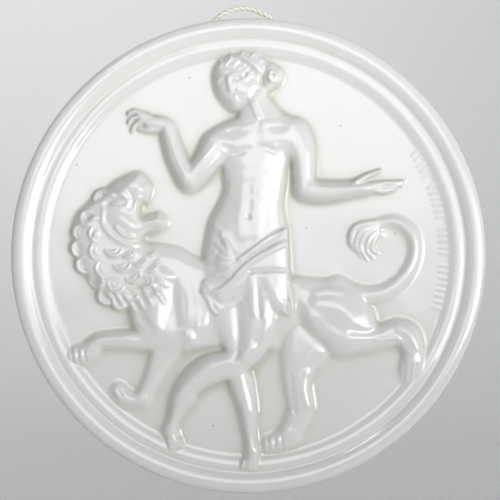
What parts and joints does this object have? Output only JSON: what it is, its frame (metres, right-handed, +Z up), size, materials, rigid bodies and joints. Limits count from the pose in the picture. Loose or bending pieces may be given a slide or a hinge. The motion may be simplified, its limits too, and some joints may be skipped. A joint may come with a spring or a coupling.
{
  "type": "decorative wall plate",
  "caption": "Round glazed porcelain wall plate with a raised relief of a draped youth beside a lion, a moulded rim, and a cord to hang it by.",
  "frame": {"origin": "where a hook carries the cord, under the top of the cord's arch", "axes": "+Z up as it hangs, -Y out of the face towards the viewer, +X to the viewer's right"},
  "size_m": [0.2601, 0.0256, 0.2688],
  "materials": {
    "glazed_porcelain": "clear glossy glaze over white porcelain",
    "cotton_cord": "twisted cotton string"
  },
  "bodies": {
    "root": {"plate": "glazed_porcelain", "hanging_cord": "cotton_cord", "cord_knot_left": "cotton_cord", "cord_knot_right": "cotton_cord"}
  },
  "joints": []
}
